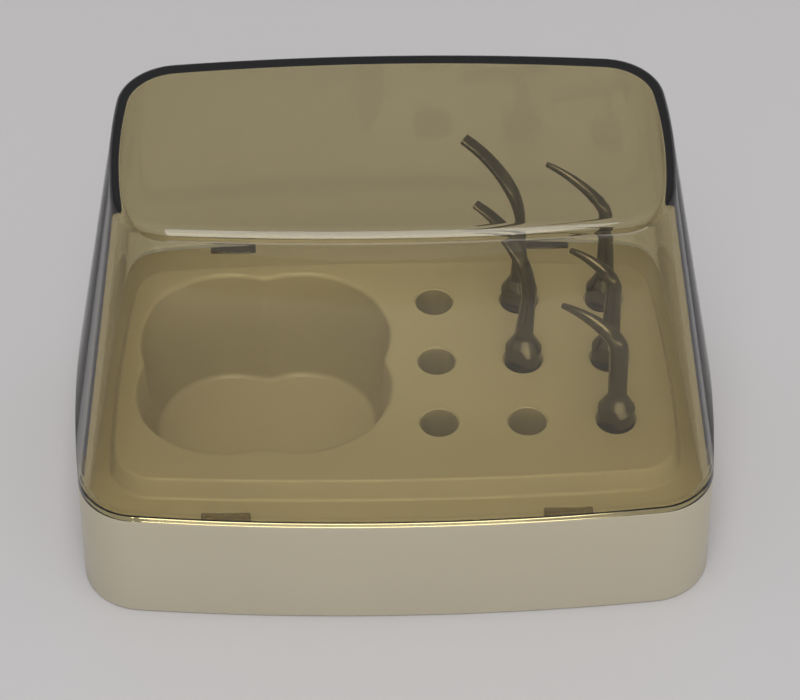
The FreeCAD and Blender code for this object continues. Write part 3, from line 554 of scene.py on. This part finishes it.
# %% Smoked lid plastic
SMOKE, SMOKE_DENSITY = (0.56, 0.46, 0.06), 420
smoke, smoke_tree, smoke_shader = new_material("smoked_clear_plastic")
smoke_shader.inputs["Base Color"].default_value = (1, 1, 1, 1)
smoke_shader.inputs["Roughness"].default_value = 0.0
smoke_shader.inputs["Transmission Weight"].default_value = 1.0
absorption = smoke_tree.nodes.new("ShaderNodeVolumeAbsorption")
absorption.inputs["Color"].default_value = (*SMOKE, 1)
absorption.inputs["Density"].default_value = SMOKE_DENSITY
smoke_out = smoke_tree.nodes["Material Output"]
smoke_tree.links.new(absorption.outputs[0], smoke_out.inputs["Volume"])
passed = [round(math.exp((c - 1) * SMOKE_DENSITY * LID_WALL * MM), 2) for c in SMOKE]
print("one wall lets through", passed, "of red, green and blue")

# %% [markdown]
# ### The lid's dark outline
# The lid's edges look dark in the photograph. There the eye looks a long way along the inside of the wall, and clear
# plastic seen at a grazing angle mirrors the room beside it, which was dark. The room here is pale all round. As a
# stand-in for that dark room, the outer faces' index of refraction falls almost to that of air at grazing angles,
# so they mirror next to nothing there. The normal of an outer face points away from the object's origin, which
# tells it from an inner face, and the inner faces keep the plastic's own index.

# %% Outer faces seen at a grazing angle
IOR, EDGE_IOR = 1.49, 1.02
GRAZING_START, GRAZING_END = 0.82, 0.9
smoke_geometry = smoke_tree.nodes.new("ShaderNodeNewGeometry")
smoke_place = smoke_tree.nodes.new("ShaderNodeTexCoord")
outward = smoke_tree.nodes.new("ShaderNodeVectorMath")
outward.operation = "DOT_PRODUCT"
outer_face = smoke_tree.nodes.new("ShaderNodeMath")
outer_face.operation = "GREATER_THAN"
outer_face.inputs[1].default_value = 0.0
facing = smoke_tree.nodes.new("ShaderNodeLayerWeight")
grazing = smoke_tree.nodes.new("ShaderNodeMath")
grazing.operation = "MULTIPLY"
edge_index = smoke_tree.nodes.new("ShaderNodeMapRange")
edge_index.inputs["From Min"].default_value = GRAZING_START
edge_index.inputs["From Max"].default_value = GRAZING_END
edge_index.inputs["To Min"].default_value = IOR
edge_index.inputs["To Max"].default_value = EDGE_IOR
for source, target in (
    (smoke_geometry.outputs["Normal"], outward.inputs[0]),
    (smoke_place.outputs["Object"], outward.inputs[1]),
    (outward.outputs["Value"], outer_face.inputs[0]),
    (facing.outputs["Facing"], grazing.inputs[0]),
    (outer_face.outputs[0], grazing.inputs[1]),
    (grazing.outputs[0], edge_index.inputs["Value"]),
    (edge_index.outputs[0], smoke_shader.inputs["IOR"]),
):
    smoke_tree.links.new(source, target)
print("index of refraction", IOR, "and", EDGE_IOR, "at grazing angles")

# %% [markdown]
# ### Light under the lid
# Glass lets no lamp light straight through in a path tracer, so what stands under a lid goes dark. The usual answer
# is to let the rays that look for a lamp pass straight, with a small loss at each face, while every ray that is seen
# still bends at both faces.

# %% Lamp light through the lid
FACE_LOSS = 0.93
open_shader = smoke_tree.nodes.new("ShaderNodeBsdfTransparent")
open_shader.inputs["Color"].default_value = (FACE_LOSS, FACE_LOSS, FACE_LOSS, 1)
path = smoke_tree.nodes.new("ShaderNodeLightPath")
either = smoke_tree.nodes.new("ShaderNodeMixShader")
smoke_tree.links.new(path.outputs["Is Shadow Ray"], either.inputs[0])
smoke_tree.links.new(smoke_shader.outputs[0], either.inputs[1])
smoke_tree.links.new(open_shader.outputs[0], either.inputs[2])
smoke_tree.links.new(either.outputs[0], smoke_out.inputs["Surface"])
print("each face lets", FACE_LOSS, "of a lamp's light through")

# %% The lid's walls
lid = bmesh.new()
outer = lid_loops(lid, 0.0, OUTER_CROWNS, crown_steps=12)
inner = lid_loops(lid, LID_WALL, INNER_CROWNS, crown_steps=9)
bridge(lid, outer)
bridge(lid, inner)
fill(lid, [outer[-1]])
fill(lid, [inner[-1]])
bridge(lid, [inner[0], outer[0]])
print("lid:", len(outer), "outer and", len(inner), "inner loops of", len(outer[0]), "vertices")

# %% [markdown]
# ### Snap lugs
# Four small blocks hang from the rim and go down into the slots of the ledge. They are moulded with the lid, so they
# are part of its mesh and have its smoke. A small bevel catches the light on their edges.

# %% The snap lugs
LUG_ROUND = 0.2
for side_x in (-1, 1):
    for side_y in (-1, 1):
        lug = bmesh.ops.create_cube(lid, size=1)["verts"]
        bmesh.ops.scale(lid, vec=LUG_SIZE, verts=lug)
        centre = Vector((side_x * LUG_X, side_y * LUG_Y, LUG_BOTTOM + LUG_SIZE[2] / 2))
        bmesh.ops.translate(lid, vec=centre, verts=lug)
        lug_edges = list({edge for vert in lug for edge in vert.link_edges})
        bmesh.ops.bevel(
            lid, geom=lug_edges, offset=LUG_ROUND, segments=3, profile=0.5, affect="EDGES", material=-1
        )
finish_piece(lid, "lid_shell", "lid", smoke, "lid")

# %% [markdown]
# ## The tips
# Each tip is turned from one steel bar: a round shank that fills its socket, a collar with two flats for a wrench, a
# cone, and a thin stem that is bent over. Ovals are laid across the centre line of the bend and bridged, so each
# tip is one smooth skin from its shank to its fine end.

# %% [markdown]
# ### Dark turned steel
# The tips look dark brown-grey in the photograph. A metal has no colour but what it mirrors, so its base colour says
# how much of the room comes back. It is set low, and the shared grain, at a finer scale, breaks the mirror a little.

# %% Steel
STEEL, STEEL_SHADE = (0.19, 0.17, 0.14), (0.1, 0.088, 0.072)
steel, steel_tree, steel_shader = new_material("turned_steel")
add_grain(steel_tree, steel_shader, STEEL, STEEL_SHADE, drift_scale=260.0, grain_scale=2200.0)
steel_shader.inputs["Metallic"].default_value = 1.0
steel_shader.inputs["Roughness"].default_value = 0.22
print(steel.name, "drifts from", STEEL, "to", STEEL_SHADE)

# %% The tips' shapes
SHANK_RADIUS, COLLAR_HEIGHT, CONE_HEIGHT, STEM_RADIUS = 2.63, 2.6, 2.3, 1.35
FLAT_HALF, FLAT_START = 2.15, 0.5
SHANK_END, COLLAR_EDGE, COLLAR_STEP, FLAT_STEP = 0.3, 0.15, 0.12, 0.02
OUTLET_RADIUS, OUTLET_DEPTH = 0.225, 1.5
TIP_TURN = math.radians(60)
TIP_STEPS, CONE_STEPS, STEM_STEPS, BEND_STEPS, CURVE_STEPS = 36, 7, 8, 10, 16
# the fine end's rounding: how much of the width is left, and how far forward
END_ROUND = ((0.9, 0.05), (0.72, 0.08))

# place in the grid; slant; stem height; bend radius and angle; curve radius and angle; neck, middle and end as
# width and depth; and how square the end is
TIPS = {
    "chisel_tip_back": ((0, 1), 1.0, 14.0, (11.5, 30.0), (15.4, 69.0), (1.9, 1.3), (2.3, 1.3), (1.9, 0.9), 4.0),
    "chisel_tip_middle": ((0, 0), -4.0, 12.2, (12.5, 32.0), (13.5, 70.0), (2.4, 2.0), (2.4, 1.3), (1.5, 0.6), 4.0),
    "pointed_tip_back": ((1, 1), 1.5, 14.8, (3.2, 51.0), (17.6, 82.0), (2.0, 2.0), (1.8, 1.8), (0.8, 0.8), 2.0),
    "pointed_tip_middle": ((1, 0), 0.0, 13.6, (3.2, 58.0), (11.0, 88.0), (2.2, 2.2), (1.8, 1.8), (0.8, 0.8), 2.0),
    "pointed_tip_front": ((1, -1), 1.0, 13.2, (3.4, 60.0), (14.0, 91.0), (2.7, 2.7), (2.3, 2.3), (0.8, 0.8), 2.0),
}
print("tips:", ", ".join(TIPS))


# %% Loops of a tip
def oval_loop(bm, along, up, angle, width, depth, squareness=2.0):
    """A loop across the centre line, which lies in the plane of local Y and Z and leans by an angle."""
    loop = bmesh.ops.create_circle(bm, cap_ends=False, segments=TIP_STEPS, radius=1)["verts"]
    for k, vert in enumerate(loop):
        a = 2 * math.pi * k / TIP_STEPS
        across, out = math.cos(a), math.sin(a)
        reach = (abs(across) ** squareness + abs(out) ** squareness) ** (-1 / squareness)
        vert.co = (across * reach * width / 2, out * reach * depth / 2, 0)
    bmesh.ops.rotate(bm, verts=loop, cent=(0, 0, 0), matrix=Matrix.Rotation(-angle, 3, "X"))
    bmesh.ops.translate(bm, verts=loop, vec=(0, along, up))
    return loop


def turned_loops(bm, profile):
    """Loops of a turned part, from (height, radius, flats) rows. Flats are the wrench's two flat sides."""
    loops = []
    for height, radius, flats in profile:
        loop = oval_loop(bm, 0, height, 0, 2 * radius, 2 * radius)
        for vert in loop:
            if flats:
                vert.co.x = max(-FLAT_HALF, min(FLAT_HALF, vert.co.x))
        loops.append(loop)
    return loops


def shank_profile():
    """Height, radius and flats of every loop of the turned part, from the socket's floor up to the cone."""
    socket_floor, flat_foot, collar_top = DECK_TOP - SOCKET_DEPTH, DECK_TOP + FLAT_START, DECK_TOP + COLLAR_HEIGHT
    rows = [
        (socket_floor, SHANK_RADIUS - SHANK_END, False), (socket_floor + SHANK_END, SHANK_RADIUS, False),
        (flat_foot, SHANK_RADIUS, False), (flat_foot + FLAT_STEP, SHANK_RADIUS, True),
        (collar_top - COLLAR_EDGE, SHANK_RADIUS, True), (collar_top, SHANK_RADIUS - COLLAR_STEP, True),
    ]
    for k in range(1, CONE_STEPS):
        share = k / CONE_STEPS
        radius = SHANK_RADIUS + (STEM_RADIUS - SHANK_RADIUS) * share - COLLAR_STEP * (1 - share)
        rows.append((collar_top + CONE_HEIGHT * share, radius, True))
    return rows


# %% [markdown]
# ### The bent centre line
# From the cone's top the centre line rises as a slanted stem, bends over on a small arc and runs out on a wide one.
# At each spot on it stands one oval, square to the line. The ovals turn from round to flat on a chisel tip, and the
# fine water outlet is sunk into the last of them.

# %% The bent centre line
def between_ovals(start, end, share):
    """Width and depth on the way from one oval to another."""
    return [a + share * (b - a) for a, b in zip(start, end)]


def arc_spots(start, turn, sizes, squares, steps):
    """Spots on an arc that goes on from a spot's place and lean."""
    (along, up, first), (radius, last) = start, turn
    spots = []
    for k in range(1, steps + 1):
        share = k / steps
        lean = first + share * (last - first)
        place = (
            along + radius * (math.cos(first) - math.cos(lean)),
            up + radius * (math.sin(lean) - math.sin(first)),
        )
        square = squares[0] + share * (squares[1] - squares[0])
        spots.append((*place, lean, between_ovals(*sizes, share), square))
    return spots


def centre_line(slant, stem, bend, curve, neck, middle, end, squareness):
    """Along, up, lean, width and depth, and squareness of each oval, from the cone's top to the fine end."""
    lean = math.radians(slant)
    cone_top, stem_top = DECK_TOP + COLLAR_HEIGHT + CONE_HEIGHT, DECK_TOP + stem
    stem_along = (stem_top - cone_top) * math.tan(lean)
    stem_foot = (2 * STEM_RADIUS, 2 * STEM_RADIUS)
    spots = []
    for k in range(STEM_STEPS + 1):
        share = k / STEM_STEPS
        height = cone_top + share * (stem_top - cone_top)
        spots.append((share * stem_along, height, share * lean, between_ovals(stem_foot, neck, share), 2.0))
    half_square = 2.0 + (squareness - 2) / 2
    for (radius, last), sizes, squares, steps in (
        (bend, (neck, middle), (2.0, half_square), BEND_STEPS),
        (curve, (middle, end), (half_square, squareness), CURVE_STEPS),
    ):
        spots += arc_spots(spots[-1][:3], (radius, math.radians(last)), sizes, squares, steps)
    return spots


# %% The five tips
def fine_end(bm, along, up, lean, size, squareness):
    """Loops that round the end over, and that sink the water outlet into it."""
    ahead = Vector((0, math.sin(lean), math.cos(lean)))
    rings = [(forward, size[0] * shrink, size[1] * shrink, squareness) for shrink, forward in END_ROUND]
    rings += [(forward, 2 * OUTLET_RADIUS, 2 * OUTLET_RADIUS, 2.0) for forward in (END_ROUND[-1][1], -OUTLET_DEPTH)]
    return [
        oval_loop(bm, along + ahead.y * forward, up + ahead.z * forward, lean, width, depth, square)
        for forward, width, depth, square in rings
    ]


def build_tip(name, spot, *shape):
    """One tip, bent to its side and set in its socket."""
    bm = bmesh.new()
    loops = turned_loops(bm, shank_profile())
    spots = centre_line(*shape)
    loops += [oval_loop(bm, along, up, lean, *size, square) for along, up, lean, size, square in spots]
    loops += fine_end(bm, *spots[-1])
    bridge(bm, loops)
    for loop in (loops[0], loops[-1]):
        bmesh.ops.contextual_create(bm, geom=loop_edges(loop))
    x, y = GRID[spot]
    bmesh.ops.rotate(bm, verts=bm.verts[:], cent=(0, 0, 0), matrix=Matrix.Rotation(TIP_TURN, 3, "Z"))
    bmesh.ops.translate(bm, verts=bm.verts[:], vec=(x, y, 0))
    finish_piece(bm, name + "_steel", "base", steel, name, smooth_angle=30)


for tip_name, tip_values in TIPS.items():
    build_tip(tip_name, *tip_values)

# %% [markdown]
# ## Table and light
# The box stands on a plain pale table. One large soft lamp hangs high in front of it, as a window would, and a long
# low strip lights its front wall. The world is bright at the horizon, as pale walls are, dimmer above it and bright
# again overhead. The steel and the lid's faces mirror these bands.

# %% Table
table = bmesh.new()
bmesh.ops.create_grid(table, x_segments=1, y_segments=1, size=1.5)
table_mesh = bpy.data.meshes.new("table")
table.to_mesh(table_mesh)
table.free()
table_piece = bpy.data.objects.new("table", table_mesh)
bpy.context.scene.collection.objects.link(table_piece)
table_material, _, table_shader = new_material("pale_table")
table_shader.inputs["Base Color"].default_value = (0.60, 0.585, 0.59, 1)
table_shader.inputs["Roughness"].default_value = 0.6
table_mesh.materials.append(table_material)
print("table: about", round(table_piece.dimensions.x, 1), "m wide")


# %% Lamps
def add_lamp(name, place, size, power, aim=(0, 0, 0.02)):
    """A soft oblong lamp that looks at the box."""
    data = bpy.data.lights.new(name, "AREA")
    data.shape = "RECTANGLE"
    data.size, data.size_y = size
    data.energy = power
    lamp = bpy.data.objects.new(name, data)
    lamp.location = place
    lamp.rotation_euler = (Vector(aim) - Vector(place)).to_track_quat("-Z", "Y").to_euler()
    bpy.context.scene.collection.objects.link(lamp)
    print(name, "lamp of", power, "W,", round((Vector(aim) - Vector(place)).length, 2), "m away")


add_lamp("window", (-0.035, -0.43, 1.07), (0.45, 1.0), 6.0)
add_lamp("front_fill", (0.2, -0.58, 0.13), (0.9, 0.12), 0.8)

# %% World
# height above the horizon, as the sine of its angle, and the colour seen there
ROOM_BANDS = ((0.06, (0.8, 0.8, 0.82, 1)), (0.45, (0.3, 0.3, 0.32, 1)), (1.0, (0.62, 0.62, 0.61, 1)))
world = bpy.data.worlds.new("room")
bpy.context.scene.world = world
world.use_nodes = True
room = world.node_tree
background = room.nodes["Background"]
background.inputs["Strength"].default_value = 1.0
coordinates = room.nodes.new("ShaderNodeTexCoord")
split = room.nodes.new("ShaderNodeSeparateXYZ")
ramp = room.nodes.new("ShaderNodeValToRGB")
ramp.color_ramp.elements.new(0.5)
for stop, (height, colour) in zip(ramp.color_ramp.elements, ROOM_BANDS):
    stop.position, stop.color = height, colour
room.links.new(coordinates.outputs["Generated"], split.inputs[0])
room.links.new(split.outputs["Z"], ramp.inputs[0])
room.links.new(ramp.outputs[0], background.inputs["Color"])
print("room bands:", [(round(stop.position, 2), round(stop.color[0], 2)) for stop in ramp.color_ramp.elements])

# %% How the picture is shown
bpy.context.scene.view_settings.view_transform = "Standard"
